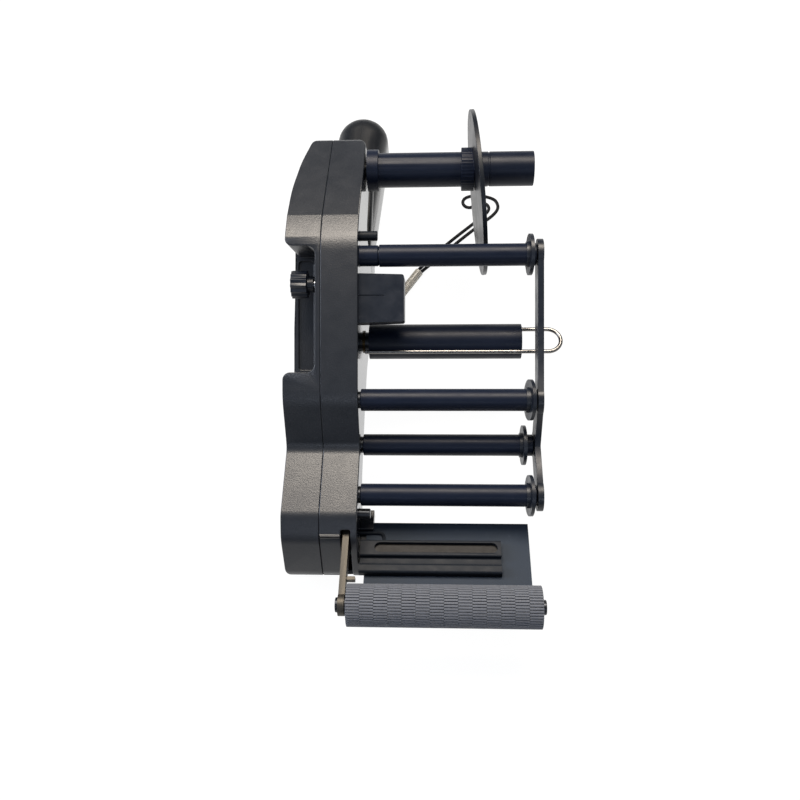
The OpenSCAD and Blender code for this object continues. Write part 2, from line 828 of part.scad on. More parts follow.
module press_arm() {
    tab_at = press_at - tab_from_axle * arm_dir;
    color("#8d867c") lay() difference() {
        union() {
            along_x(arm_x, arm_x + arm_t) {
                strip(pivot_at, press_at, arm_w);
                translate(pivot_at) circle(d = arm_w);
                translate(press_at) circle(d = arm_w + 4);
            }
            rod(arm_hub_x, arm_x + arm_t, arm_w, pivot_at);
            along_x(arm_x + arm_t - 0.5, 0) strip(tab_at - 2 * arm_dir, tab_at, arm_w - 4);
        }
        rod(arm_hub_x - 1, 0, arm_pin_d + 2 * run_fit, pivot_at);
        rod(arm_x - 1, 0, press_axle_d + 2 * seat_fit, press_at);
    }
}

module arm_pin() {
    color("#c9ccd0") lay() rod(pin_left, pin_out, arm_pin_d, pivot_at);
}

spring_r = 4.4;
spring_turns = 3.5;
spring_x = [seam_x + 2.8, arm_hub_x - 0.8];
spring_pitch = (spring_x[1] - spring_x[0] - spring_wire) / spring_turns;
spring_steps = 12;
spring_leg = 6;
spring_pts = [for (i = [0:spring_steps * spring_turns])
    let (a = 360 * i / spring_steps)
    [spring_x[0] + spring_wire / 2 + spring_pitch * i / spring_steps, spring_r * cos(a), spring_r * sin(a)]];

// Least gap between turns, measured on points that lie at least half a turn apart
spring_gap = min([for (i = [0:len(spring_pts) - 1], j = [i + spring_steps / 2:1:len(spring_pts) - 1])
    norm(spring_pts[j] - spring_pts[i])]) - spring_wire;
echo(spring_gap = spring_gap);

// Torsion spring round the arm pin, with a straight leg at each end
module arm_spring() {
    last = spring_pts[len(spring_pts) - 1];
    path = concat([spring_pts[0] - [0, 0, spring_leg]], spring_pts, [last - [0, 0, spring_leg]]);
    color("#c9ccd0") lay() translate([0, pivot_at[0], pivot_at[1]]) tube(path, spring_wire, 8, [1, 0, 0]);
}

axle_head_h = 1.6;
axle_head_over = 1.6;

module press_axle() {
    color("#b9bcc0") lay() {
        rod(arm_x, press_x1 + 0.3, press_axle_d, press_at);
        rod(arm_x - axle_head_h, arm_x, press_axle_d + axle_head_over, press_at);
        rod(arm_x + arm_t, press_x0 - clear, press_axle_d + 4, press_at);
        rod(press_x1 + clear, press_x1 + 2.5, press_axle_d + axle_head_over, press_at);
    }
}

module press_core() {
    color("#3a3c40") lay() pipe(press_x0, press_x1, press_core_d, press_axle_d + 2 * run_fit, press_at);
}

ring_pitch = (press_x1 - press_x0) / ring_count;
ring_gap = 0.12;
tooth_depth = 0.7;

module press_rings() {
    color("#55575c") lay() for (i = [0:ring_count - 1]) difference() {
        translate([press_x0 + i * ring_pitch, press_at[0], press_at[1]])
            rotate([90, 0, 90])
                rotate(i * 77)
                    linear_extrude(ring_pitch - ring_gap)
                        polygon(toothed(ring_teeth, press_d / 2 - tooth_depth, press_d / 2));
        rod(press_x0 - 1, press_x1 + 1, press_core_d + 2 * seat_fit, press_at);
    }
}

// Peel plate and sensor

module peel_plate() {
    color("#3a4048") lay() along_x(plate_x, plate_x + plate_w) on_plate() {
        translate([0, -plate_t]) square([plate_len - plate_t / 2, plate_t]);
        translate([plate_len - plate_t / 2, -plate_t / 2]) circle(d = plate_t);
    }
}

// Bracket behind the left end of the plate: [along the plate, depth below its face]
bracket_along = [0.5, 26];
bracket_depth = 9;
bracket_len = 15;
bracket_screw_depth = 3.5;
// Rib that stiffens the plate and stands on the table: [along the plate], and its reach along the rollers
foot_along = [3, 8];
foot_len = 60;
// Ear of the bracket over the plate's corner at the wall
ear_along = [-7, 6];
ear_len = 7.6;
ear_h = 3;
plate_gap = 0.1;
bracket_screw_at = [for (a = [6, 20])
    plate_rear + a * plate_dir - (plate_t + bracket_screw_depth) * plate_out];

module plate_bracket() {
    drop = 40;
    color("#232427") lay() difference() {
        union() {
            along_x(0, bracket_len) on_plate()
                translate([bracket_along[0], -plate_t - bracket_depth])
                    square([bracket_along[1] - bracket_along[0], bracket_depth]);
            along_x(0, foot_len) on_plate()
                translate([foot_along[0], -plate_t - drop]) square([foot_along[1] - foot_along[0], drop]);
            along_x(0, ear_len) on_plate()
                translate([ear_along[0], 0]) square([ear_along[1] - ear_along[0], ear_h]);
            along_x(0, ear_len) on_plate()
                translate([ear_along[0], -plate_t - ear_h])
                    square([-ear_along[0] - plate_gap, plate_t + 2 * ear_h]);
            along_x(0, ear_len) on_plate()
                translate([ear_along[0], -plate_t - ear_h])
                    square([bracket_along[0] + 1 - ear_along[0], ear_h]);
        }
        for (p = bracket_screw_at) rod(-1, bracket_len - 4, screw_d + 2 * seat_fit, p);
        in_machine()
            translate([-1, -2 * drop - neck_y, -2 * drop]) cube([foot_len + 2, 2 * neck_y, 2 * drop]);
    }
}

module bracket_screws() {
    color("silver") lay() for (p = bracket_screw_at) {
        rod(inner_x - screw_head_h, inner_x, screw_head_d, p);
        rod(inner_x - 1, bracket_len - 4.5, screw_d, p);
    }
}

// Cross-section of the sensor bar: [along the plate, height, corner radius]
sensor_at = 13.5;
sensor_top = 4.6;
sensor_pts = [
    [0, 0, 0.1], [21.5, 0, 0.1], [21.5, sensor_top, 1.6], [15.8, 5, 1.6], [15.2, 2, 0.8],
    [11, 2, 0.8], [10.6, sensor_top, 1], [0, sensor_top, 1.4]
];
sensor_x = 0.5;
window_ends = [9, 81.6];
window_w = 6.4;
window_along = 5.3;
window_depth = 3;
window_sink = 2.2;

// Long round-ended slot in the top of the sensor bar
module window_shape(gap, h0, h1) {
    r = window_w / 2 - gap;
    x0 = window_ends[0] + window_w / 2;
    x1 = min(window_ends[1], sensor_x + sensor_len - 2) - window_w / 2;
    mid = plate_rear + (sensor_at + window_along) * plate_dir + h0 * plate_out;
    translate([0, mid[0], mid[1]]) rotate([plate_angle - 180, 0, 0]) {
        translate([x0, 0, 0]) cylinder(r = r, h = h1 - h0);
        translate([x1, 0, 0]) cylinder(r = r, h = h1 - h0);
        translate([x0, -r, 0]) cube([x1 - x0, 2 * r, h1 - h0]);
    }
}

module sensor_bar() {
    color("#1d1e21") lay() difference() {
        along_x(sensor_x, sensor_x + sensor_len)
            on_plate() translate([sensor_at, 0]) polygon(rounded(sensor_pts));
        window_shape(0, sensor_top - window_depth, 8);
        along_x(-1, plate_x) on_plate() translate([sensor_at - 1, -1]) square([24, 1.2]);
    }
}

module sensor_window() {
    color("#4a2f2a") lay() window_shape(0.05, sensor_top - window_depth, sensor_top - window_sink);
}

// Lead that comes out of the wall, lies on the plate and bends into the sensor bar
lead_d = 2;
lead_along = 7.5;
lead_reach = 11;
lead_bend = 3;

module sensor_lead() {
    flat = concat(
        [[0, lead_along], [lead_reach / 2, lead_along]],
        [for (a = [0:15:90]) [lead_reach + lead_bend * sin(a), lead_along + lead_bend * (1 - cos(a))]],
        [[lead_reach + lead_bend, sensor_at]]
    );
    pts = [for (p = flat)
        let (at = plate_rear + p[1] * plate_dir + lead_d / 2 * plate_out)
        [p[0], at[0], at[1]]];
    color("#1d1e21") lay() tube(pts, lead_d, 8, [0, plate_out[0], plate_out[1]]);
}

// Side details

// Box on the wall, with drafted sides
module side_box() {
    draft = 0.8;
    deep = 16;
    color("#232427") lay() difference() {
        translate([0, box_at[0], box_at[1] - deep])
            linear_extrude(deep)
                polygon(rounded([
                    [0, 0, 0.1], [box_x, draft, 1.5], [box_x, box_len - draft, 1.5], [0, box_len, 0.1]
                ]));
        translate([-1, box_at[0] + 2, box_at[1] - deep - 1]) cube([box_x - 1, box_len - 4, deep - 1.2]);
        translate([-1, box_at[0] + box_len / 2 + 1, box_at[1] - 0.5]) cube([16, 0.9, 2]);
    }
}

stub_d = 5.8;

module stub_pin() {
    color("#2a2b2e") lay() rod(frame_x + 2, 10.5, stub_d, stub_at);
}

knob_x = -body_w + 2.6;
knob_shaft_d = 6;

module adjust_knob() {
    flutes = 14;
    color("#202124") lay() difference() {
        union() {
            translate([knob_x, knob_at[0], knob_at[1]])
                rotate([90, 0, 90])
                    linear_extrude(knob_len) polygon(toothed(flutes, knob_d / 2 - 1, knob_d / 2));
            rod(knob_x + 1, knob_x + knob_len + 3.8, 9.6, knob_at);
        }
        rod(knob_x + 3, 0, knob_shaft_d + 2 * seat_fit, knob_at);
    }
}

pot_x = -body_w + notch_w + wall_t;
pot_len = 6;
pot_d = 16;

module knob_shaft() {
    color("#c9ccd0") lay() rod(knob_x + 3, pot_x + 4, knob_shaft_d, knob_at);
}

module potentiometer() {
    color("#3c5a46") lay() difference() {
        rod(pot_x, pot_x + pot_len, pot_d, knob_at);
        rod(pot_x - 1, pot_x + 4.5, knob_shaft_d + 2 * run_fit, knob_at);
    }
}

module circuit_board() {
    color("#1f5a3a") lay() difference() {
        in_machine() translate([board_x, board_y[0], board_z[0]]) {
            cube([board_t, board_y[1] - board_y[0], board_z[1] - board_z[0]]);
            translate([board_t - 0.5, 7, 10]) cube([2.4, 12, 12]);
            translate([board_t - 0.5, 5, 27]) cube([2.4, 5, 8]);
            translate([board_t - 0.5, 15, 27]) cube([2.4, 5, 8]);
        }
        for (p = board_holes) rod(-body_w, 0, 2.6, p);
    }
}

module charge_socket() {
    x0 = -body_w;
    color("#2a2b2e") lay() difference() {
        union() {
            rod(x0, x0 + socket_len, socket_d, socket_at);
            rod(x0 + wall_t, x0 + wall_t + 2.4, socket_d + 4, socket_at);
        }
        rod(x0 - 1, x0 + jack_depth, jack_d, socket_at);
    }
}

// Grip

// Round-ended bar along y from the neck, with its flat side on the floor, made smaller by g
module grip_form(g) {
    w = grip_w / 2 - g;
    low = [w, g];
    high = [w, grip_h - g];
    half = concat(
        [[0, g]], corner([-w, g], low, high, grip_low_r - g),
        corner(low, high, [-w, grip_h - g], grip_top_r - g),
        [[0, grip_h - g]]
    );
    back = [for (i = [len(half) - 1:-1:0]) [-half[i][0], half[i][1]]];
    reach = 20;
    straight = grip_len - grip_w / 2;
    translate([0, straight, 0])
        rotate([90, 0, 0])
            linear_extrude(straight + reach)
                polygon([for (side = [half, back], i = [1:len(side) - 2]) side[i]]);
    translate([0, straight, 0]) rotate_extrude($fn = 64) polygon(half);
}

grip_low_r = 10;
grip_top_r = 15;

// Square front of the grip, flush with the roller side of the body
base_len = 80;
base_r = 3;

module grip_base() {
    translate([-grip_w, neck_y + base_len, 0])
        rotate([90, 0, 0])
            linear_extrude(base_len) polygon(rounded(box_pts(0, grip_w, 0, grip_h, base_r)));
}

module at_grip() {
    translate([grip_x, neck_y, 0]) rotate([0, 0, -grip_yaw]) children();
}

button_y = 20;
front_block = 10;

module button_hole(gap, z0, z1) {
    translate([-button_w / 2 - gap, button_y - button_len / 2 - gap, z0])
        cube([button_w + 2 * gap, button_len + 2 * gap, z1 - z0]);
}

// One half of the grip: side -1 is the left half, side 1 the right half
module grip_half(side) {
    big = 300;
    on_surface() difference() {
        union() {
            at_grip() grip_form(0);
            grip_base();
        }
        at_grip() {
            difference() {
                grip_form(grip_wall);
                translate([-big / 2, -big + front_block, -1]) cube([big, big, big]);
            }
            button_hole(clear, grip_h - grip_wall - 6, grip_h + 1);
            translate([side < 0 ? 0 : -big, -big / 2, -1]) cube([big, big, big]);
        }
        translate([-big / 2, neck_y - big, -1]) cube([big, big, big]);
        grip_screw_rods(grip_screw_d + 2 * seat_fit, neck_y - 1, neck_y + front_block + 4);
    }
}

module grip_left() {
    color("#2c2d30") grip_half(-1);
}

module grip_right() {
    color("#2f3033") grip_half(1);
}

module grip_screws() {
    color("silver") on_surface() {
        grip_screw_rods(grip_screw_d, neck_y - wall_t - 1, neck_y + front_block - 1);
        grip_screw_rods(screw_head_d, neck_y - wall_t - screw_head_h, neck_y - wall_t);
    }
}

// Four cells in two rows, held by a tray
module battery_pack() {
    gap = 0.4;
    base = grip_wall + 0.1;
    start = front_block + 1;
    color("#3d6db5") on_surface() at_grip() {
        for (s = [-1, 1], k = [0, 1])
            translate([s * (cell_d + gap) / 2, start + k * (cell_len + gap), base + cell_d / 2])
                rotate([-90, 0, 0]) cylinder(d = cell_d, h = cell_len);
        translate([-5, start, base]) cube([10, 2 * cell_len + gap, 3]);
    }
}

// Top of the button's flange, below the curved inside of the grip
flange_top = grip_h - grip_wall - 1.3;
flange_t = 2;

module start_button() {
    top = grip_h + button_travel + 0.6;
    color("#8c1f1d") on_surface() at_grip() {
        button_hole(0, flange_top - 1, top);
        button_hole(1.6, flange_top - flange_t, flange_top);
    }
}

module micro_switch() {
    base = grip_wall + 0.1 + cell_d;
    top = flange_top - flange_t - button_travel - 0.4;
    color("#26272a") on_surface() at_grip()
        translate([-5, button_y - 9, base]) cube([10, 18, top - base]);
}

// Wrist cord

anchor_y = 97;
anchor_z = 5;
anchor_d = 8;
anchor_len = 7;

// Stud on the wall that holds the cord
module strap_anchor() {
    color("#2a2b2e") lay() rod(0, anchor_len, anchor_d, on_floor(anchor_y, anchor_z));
}

// Route of the doubled cord along the floor: out, round the end bow and back
cord_z = 3.2;
cord_low = 1.35;
cord_route = [
    [anchor_len, 95.7, cord_z], [8.5, 95.7, cord_z], [10, 95.7, cord_z], [15, 103, cord_z],
    [23, 119, cord_z], [33, 134, cord_z],
    [47, 149, cord_low], [62, 164, cord_low], [77, 178, cord_low], [87, 187, cord_low], [91, 194, cord_low],
    [89, 201, cord_low], [82, 204.6, cord_low], [75, 205.4, cord_low], [70, 205, cord_low],
    [66, 202.8, cord_low], [64.7, 199.2, cord_low], [66.2, 195.8, cord_low], [69.6, 194.4, cord_low],
    [73.4, 195.8, cord_low], [78, 198.2, cord_low], [82.6, 197.2, cord_low], [84.2, 193, cord_low],
    [81.4, 188, cord_low], [73, 180, cord_low], [58, 166, cord_low], [44, 152, cord_low],
    [30.9, 135.5, cord_z], [20.8, 120.3, cord_z], [13, 106, cord_z], [10, 98.5, cord_z],
    [8.5, 98.5, cord_z], [anchor_len, 98.5, cord_z]
];

module wrist_cord() {
    color("#18191b") on_surface() tube(spline(cord_route, 2), cord_d, 8, [0, 0, 1]);
}

// Pale sleeve round both strands
sleeve_ends = [[19.5, 115.8], [32.2, 135.1]];
sleeve_d = 6.3;
sleeve_bore = 5.7;

module strap_sleeve() {
    d = sleeve_ends[1] - sleeve_ends[0];
    color("#c9c6bd") on_surface()
        translate([sleeve_ends[0][0], sleeve_ends[0][1], cord_z])
            rotate([0, 0, atan2(d[1], d[0])])
                rotate([0, 90, 0])
                    difference() {
                        cylinder(d = sleeve_d, h = norm(d));
                        translate([0, 0, -1]) cylinder(d = sleeve_bore, h = norm(d) + 2);
                    }
}

left_cover();
right_cover();
shell_screws();
frame_plate();
frame_screws();
motor();
motor_pinion();
rewind_gear();
rewind_shaft();
rewind_bush();
frame_bush();
rewind_core();
wire_clip();
supply_axle();
axle_clip();
supply_spindle();
supply_disc();
guide_axles();
guide_roller_1();
guide_roller_2();
guide_roller_3();
guide_roller_4();
edge_disc_1();
edge_disc_2();
edge_disc_3();
edge_disc_4();
outer_bar();
bar_screws();
press_arm();
arm_pin();
arm_spring();
press_axle();
press_core();
press_rings();
peel_plate();
plate_bracket();
bracket_screws();
sensor_bar();
sensor_window();
sensor_lead();
side_box();
stub_pin();
adjust_knob();
knob_shaft();
potentiometer();
circuit_board();
charge_socket();
grip_left();
grip_right();
grip_screws();
battery_pack();
start_button();
micro_switch();
strap_anchor();
strap_sleeve();
wrist_cord();
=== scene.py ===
# Electric label applicator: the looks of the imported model
import json
import math

import bmesh
import bpy
from mathutils import Matrix, Vector


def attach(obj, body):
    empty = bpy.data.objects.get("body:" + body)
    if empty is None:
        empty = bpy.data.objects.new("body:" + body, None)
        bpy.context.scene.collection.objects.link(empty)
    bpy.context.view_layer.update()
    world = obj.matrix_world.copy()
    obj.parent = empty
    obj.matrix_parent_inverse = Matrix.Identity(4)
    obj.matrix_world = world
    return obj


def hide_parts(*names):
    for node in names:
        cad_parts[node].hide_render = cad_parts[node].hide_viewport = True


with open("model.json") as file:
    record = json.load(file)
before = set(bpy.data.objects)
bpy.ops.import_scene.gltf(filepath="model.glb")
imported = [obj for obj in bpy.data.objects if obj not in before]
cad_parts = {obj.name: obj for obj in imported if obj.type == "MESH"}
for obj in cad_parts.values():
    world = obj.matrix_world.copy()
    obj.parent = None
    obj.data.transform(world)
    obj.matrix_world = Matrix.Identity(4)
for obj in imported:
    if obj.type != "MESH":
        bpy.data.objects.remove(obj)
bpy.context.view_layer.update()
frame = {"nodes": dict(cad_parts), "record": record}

SOLIDS = frame["nodes"]
SCENE = bpy.context.scene
MM = 0.001
SEAM_X = 22.0
GRIP_MID_Y = 184.0
LAY = math.radians(25.6)
HEEL_U, HEEL_V = -101.0, -30.0
LIFT = -(HEEL_U * math.sin(LAY) + HEEL_V * math.cos(LAY))


def on_table(x, y, z):
    """Place in metres of a point given in mm from the side wall, along the table and above it."""
    return Vector(((x + SEAM_X) * MM, (y - GRIP_MID_Y) * MM, z * MM))


def on_machine(x, u, v):
    """Place in metres of a point given in mm from the side wall, to the rear and to the working side."""
    return on_table(x, u * math.cos(LAY) - v * math.sin(LAY), u * math.sin(LAY) + v * math.cos(LAY) + LIFT)


def linear(code):
    """Linear colour of an sRGB hex code."""
    parts = [int(code[i:i + 2], 16) / 255 for i in (1, 3, 5)]
    return tuple(c / 12.92 if c <= 0.04045 else ((c + 0.055) / 1.055) ** 2.4 for c in parts) + (1.0,)


def put(tree, kind, inputs=None, **settings):
    """Adds a node with its settings; an input is a plain value or the socket that feeds it."""
    made = tree.nodes.new(kind)
    for name, value in settings.items():
        setattr(made, name, value)
    for name, value in (inputs or {}).items():
        if isinstance(value, bpy.types.NodeSocket):
            tree.links.new(value, made.inputs[name])
        else:
            made.inputs[name].default_value = value
    return made


def per_mm(size):
    """Scale of a pattern whose features are a given number of mm across."""
    return 1 / (size * MM)


# Camera at the angle of the photograph
EYE = Vector((0.0694, -0.3828, 0.4855))
LOOK = Vector((-0.0499, 0.4316, -0.9007)).normalized()
UP = Vector((0.0, 0.9018, 0.4321))
LENS_MM, SENSOR_MM, NEAREST_M = 36, 36, 0.01
side = LOOK.cross(UP).normalized()
top = side.cross(LOOK)
camera = bpy.data.objects.new("camera", bpy.data.cameras.new("camera"))
SCENE.collection.objects.link(camera)
camera.data.lens = LENS_MM
camera.data.sensor_width = SENSOR_MM
camera.data.clip_start = NEAREST_M
camera.matrix_world = Matrix((
    (side.x, top.x, -LOOK.x, EYE.x),
    (side.y, top.y, -LOOK.y, EYE.y),
    (side.z, top.z, -LOOK.z, EYE.z),
    (0, 0, 0, 1),
))
SCENE.camera = camera
SCENE.view_settings.view_transform = "Standard"


# Finishes

# Sockets of a mix node, for colours and for plain numbers
COLOUR_A, COLOUR_B, COLOUR_OUT = 6, 7, 2
NUMBER_A, NUMBER_B, NUMBER_OUT = 2, 3, 0
# Spans of the noise and of the facing in which a finish changes
SPOT_SPAN = (0.3, 0.7)
SCUFF_SPAN = (0.60, 0.78)
FLAT_SPAN = (0.9, 0.99)


def remap(tree, value, span, low=0.0, high=1.0):
    """Socket with a span of a value drawn out from a low to a high number."""
    return put(tree, "ShaderNodeMapRange", {"Value": value, "From Min": span[0], "From Max": span[1],
                                            "To Min": low, "To Max": high}).outputs["Result"]


def finish(name, light, dark, rough, spot=6.0, grain=0.9, depth=0.02, stretch=(1, 1, 1), metal=0.0, ior=1.5,
           shine=0.5, scuff=0.0, scuff_tone="#8a8c90", scuff_size=3.0, side_rough=None):
    """A surface with two tones in soft spots, a roughness range, a fine grain and faint scuffs, sizes in mm.
    With side_rough, faces towards +X are that smooth, as the flat of a mould is."""
    mat = bpy.data.materials.new(name)
    mat.use_nodes = True
    tree = mat.node_tree
    tree.nodes.clear()
    place = put(tree, "ShaderNodeTexCoord").outputs["Object"]
    turned = put(tree, "ShaderNodeMapping", {"Vector": place, "Scale": stretch}).outputs["Vector"]
    spots = put(tree, "ShaderNodeTexNoise", {"Vector": turned, "Scale": per_mm(spot), "Detail": 4.0,
                                             "Roughness": 0.6}).outputs["Fac"]
    colour = put(tree, "ShaderNodeMix", {"Factor": spots, COLOUR_A: linear(dark), COLOUR_B: linear(light)},
                 data_type="RGBA").outputs[COLOUR_OUT]
    if scuff:
        marks = put(tree, "ShaderNodeTexNoise", {"Vector": turned, "Scale": per_mm(scuff_size), "Detail": 8.0,
                                                 "Roughness": 0.75}).outputs["Fac"]
        worn = remap(tree, marks, SCUFF_SPAN, 0.0, scuff)
        colour = put(tree, "ShaderNodeMix", {"Factor": worn, COLOUR_A: colour, COLOUR_B: linear(scuff_tone)},
                     data_type="RGBA").outputs[COLOUR_OUT]
    rough_now = remap(tree, spots, SPOT_SPAN, rough[0], rough[1])
    fine = put(tree, "ShaderNodeTexNoise", {"Vector": turned, "Scale": per_mm(grain), "Detail": 2.0})
    bump = put(tree, "ShaderNodeBump", {"Height": fine.outputs["Fac"], "Strength": 1.0,
                                        "Distance": depth * MM})
    if side_rough is not None:
        faces = put(tree, "ShaderNodeTexCoord").outputs["Normal"]
        across = put(tree, "ShaderNodeSeparateXYZ", {"Vector": faces}).outputs["X"]
        flat = remap(tree, across, FLAT_SPAN)
        rough_now = put(tree, "ShaderNodeMix", {"Factor": flat, NUMBER_A: rough_now, NUMBER_B: side_rough},
                        data_type="FLOAT").outputs[NUMBER_OUT]
        tree.links.new(remap(tree, across, FLAT_SPAN, 1.0, 0.0), bump.inputs["Strength"])
    shader = put(tree, "ShaderNodeBsdfPrincipled", {
        "Base Color": colour, "Roughness": rough_now, "Metallic": metal, "IOR": ior,
        "Specular IOR Level": shine, "Normal": bump.outputs["Normal"]})
    put(tree, "ShaderNodeOutputMaterial", {"Surface": shader.outputs["BSDF"]})
    return mat


# ABS from a spark-eroded mould: satin black with a fine sparkle, drawn about twice as coarse so that it shows
SHELL_ABS = finish("satin_black_abs", "#181b21", "#14171c", (0.34, 0.40), spot=9, grain=0.75, depth=0.085,
                   ior=1.53, scuff=0.16, scuff_size=0.8, side_rough=0.14)
# The same plastic on the grip, handled smoother, with darker tones that are painted shade for its rounded dome
GRIP_ABS_PAINTED_SHADE = finish("handled_black_abs_painted_shade", "#14161a", "#0f1114", (0.34, 0.44), spot=12, grain=0.9, depth=0.04,
                  ior=1.53, shine=0.22, scuff=0.06, scuff_size=7, side_rough=0.14)
# Turned acetal rollers: blue-black with a dull shine, and rub marks round them
ROLLER_POM = finish("black_acetal", "#101829", "#0b111e", (0.34, 0.46), spot=5, grain=1.6, depth=0.01,
                    stretch=(0.35, 1, 1), ior=1.48, shine=0.18, scuff=0.10, scuff_tone="#59616e",
                    scuff_size=2.2)
# Sheet acrylic of the retaining disc: black, dulled by handling
DISC_ACRYLIC = finish("black_acrylic_sheet", "#12161d", "#0b0e13", (0.3, 0.4), spot=14, grain=4, depth=0.004,
                      ior=1.49, shine=0.25, scuff=0.05, scuff_size=4)
# Moulded nylon of the edge discs, the outer bar, the side box and the knob: the same black, duller
BAR_NYLON = finish("black_nylon", "#141a25", "#0d121a", (0.3, 0.46), spot=8, grain=1.5, depth=0.008,
                   ior=1.53, shine=0.35, scuff=0.05, scuff_size=4)
# Moulded ABS of the sensor bar, its lead, the stub pin and the press core, smoother than the shells
SENSOR_ABS = finish("black_abs", "#181d24", "#13171d", (0.42, 0.54), spot=6, grain=1.2, depth=0.012, ior=1.53,
                    shine=0.12, scuff=0.04, scuff_size=5)
# Smoked plastic behind the sensor slot
WINDOW_PC = finish("smoked_polycarbonate", "#120e0d", "#0b0908", (0.3, 0.42), spot=3, grain=0.8, depth=0.01,
                   ior=1.58, shine=0.1)
# Silicone rubber rings: grey and matt, slightly dusty
RING_RUBBER = finish("grey_silicone_rubber", "#63666d", "#51545a", (0.62, 0.8), spot=4, grain=0.5, depth=0.02,
                     ior=1.42, scuff=0.12, scuff_tone="#7c7e84", scuff_size=6)
# Aluminium sheet of the peel plate, dark anodised and wiped
PLATE_ALU = finish("dark_anodised_sheet", "#313842", "#2c333c", (0.5, 0.6), spot=16, grain=1.2, depth=0.004,
                     stretch=(1, 0.5, 0.5), shine=0.08, scuff=0.12, scuff_tone="#66707c", scuff_size=4)
# Bare steel of the press arm, drawn along its length and slightly brown
ARM_STEEL = finish("drawn_steel", "#5c5851", "#302e2a", (0.42, 0.58), spot=1.2, grain=0.6, depth=0.015,
                   stretch=(1, 0.12, 0.12), metal=0.9)
# Turned bright steel of the motor, its screws, the knob's shaft and the arm's spring
PIN_STEEL = finish("turned_steel", "#bcbfc2", "#94979b", (0.22, 0.34), spot=2, grain=0.5, depth=0.006,
                   stretch=(2, 1, 1), metal=1.0)
# Blackened steel of the outer screws, the axles and the rewind shaft
SCREW_STEEL = finish("blackened_steel", "#3c3e42", "#2a2c2f", (0.3, 0.42), spot=1.5, grain=0.4, depth=0.006,
                     metal=0.9)
# Drawn aluminium of the drive frame
FRAME_ALU = finish("drawn_aluminium", "#c6c8ca", "#a3a6a9", (0.28, 0.4), spot=2, grain=0.6, depth=0.008,
                   stretch=(0.2, 1, 1), metal=1.0)
# Black anodised aluminium of the supply axle, of which only the collar shows
AXLE_BLACK = finish("black_anodised_aluminium", "#24262a", "#1a1c1f", (0.36, 0.48), spot=2, grain=0.6,
                    depth=0.008, stretch=(0.2, 1, 1), metal=0.4, shine=0.3)
# Worn nickel-chrome plate of the wire clip
CLIP_CHROME = finish("chrome_plated_wire", "#8f8c88", "#6a6764", (0.18, 0.28), spot=3, grain=1, depth=0.002,
                     metal=1.0)
# Sintered bronze of bushes and pinion, dark with oil
BUSH_BRONZE = finish("sintered_bronze", "#4a3d28", "#33291a", (0.35, 0.5), spot=0.8, grain=0.3, depth=0.01,
                     metal=1.0)
# Natural acetal of the gear
GEAR_POM = finish("natural_acetal", "#e4e0d3", "#d3cebf", (0.35, 0.45), spot=3, grain=0.8, depth=0.005,
                  ior=1.48)
# Glass-fibre board with green lacquer
BOARD_FR4 = finish("lacquered_fibre_board", "#24603f", "#1a4a30", (0.25, 0.4), spot=2, grain=0.5, depth=0.01)
# Phenolic body of the potentiometer
POT_PHENOLIC = finish("phenolic_moulding", "#41604d", "#2f4a3a", (0.4, 0.55), spot=2, grain=0.5, depth=0.01)
# Shrink sleeve of the cells
CELL_SLEEVE = finish("shrink_sleeve", "#4474bd", "#35609f", (0.22, 0.32), spot=5, grain=1.5, depth=0.01)
# Moulded red start button
BUTTON_ABS = finish("red_abs", "#9a2622", "#7c1b19", (0.25, 0.38), spot=4, grain=0.7, depth=0.012, ior=1.53)
# Soft clear tube of the cord sleeve, a little yellowed
SLEEVE_PVC = finish("clear_pvc_tube", "#cfccc2", "#b3afa4", (0.18, 0.3), spot=3, grain=1.2, depth=0.006,
                    ior=1.53)

# The wrist cord isn't here: a braided one takes its place
FINISH_OF = {
    "left_cover": SHELL_ABS, "right_cover": SHELL_ABS, "plate_bracket": SHELL_ABS, "side_box": BAR_NYLON,
    "stub_pin": SENSOR_ABS, "strap_anchor": SHELL_ABS, "adjust_knob": BAR_NYLON, "charge_socket": SHELL_ABS,
    "micro_switch": SHELL_ABS, "grip_left": GRIP_ABS_PAINTED_SHADE, "grip_right": GRIP_ABS_PAINTED_SHADE, "rewind_core": ROLLER_POM,
    "supply_spindle": ROLLER_POM, "supply_disc": DISC_ACRYLIC, "outer_bar": BAR_NYLON,
    "sensor_bar": SENSOR_ABS, "sensor_lead": SENSOR_ABS, "press_core": SENSOR_ABS, "supply_axle": AXLE_BLACK,
    "guide_axles": SCREW_STEEL, "press_axle": SCREW_STEEL, "frame_plate": FRAME_ALU,
    "shell_screws": SCREW_STEEL, "frame_screws": PIN_STEEL, "motor": PIN_STEEL, "rewind_shaft": SCREW_STEEL,
    "axle_clip": SCREW_STEEL, "bar_screws": SCREW_STEEL, "arm_pin": SCREW_STEEL, "arm_spring": PIN_STEEL,
    "bracket_screws": SCREW_STEEL, "knob_shaft": PIN_STEEL, "grip_screws": SCREW_STEEL,
    "press_arm": ARM_STEEL, "rewind_bush": BUSH_BRONZE, "frame_bush": BUSH_BRONZE, "motor_pinion": BUSH_BRONZE,
    "wire_clip": CLIP_CHROME, "press_rings": RING_RUBBER, "peel_plate": PLATE_ALU, "sensor_window": WINDOW_PC,
    "rewind_gear": GEAR_POM, "circuit_board": BOARD_FR4, "potentiometer": POT_PHENOLIC,
    "battery_pack": CELL_SLEEVE, "start_button": BUTTON_ABS, "strap_sleeve": SLEEVE_PVC,
}
for number in range(1, 5):
    FINISH_OF["guide_roller_%d" % number] = ROLLER_POM
    FINISH_OF["edge_disc_%d" % number] = BAR_NYLON

BODY_OF = {solid: body for body, solids in frame["record"]["behaviour"]["bodies"].items() for solid in solids}

for solid, mat in FINISH_OF.items():
    SOLIDS[solid].data.materials.clear()
    SOLIDS[solid].data.materials.append(mat)


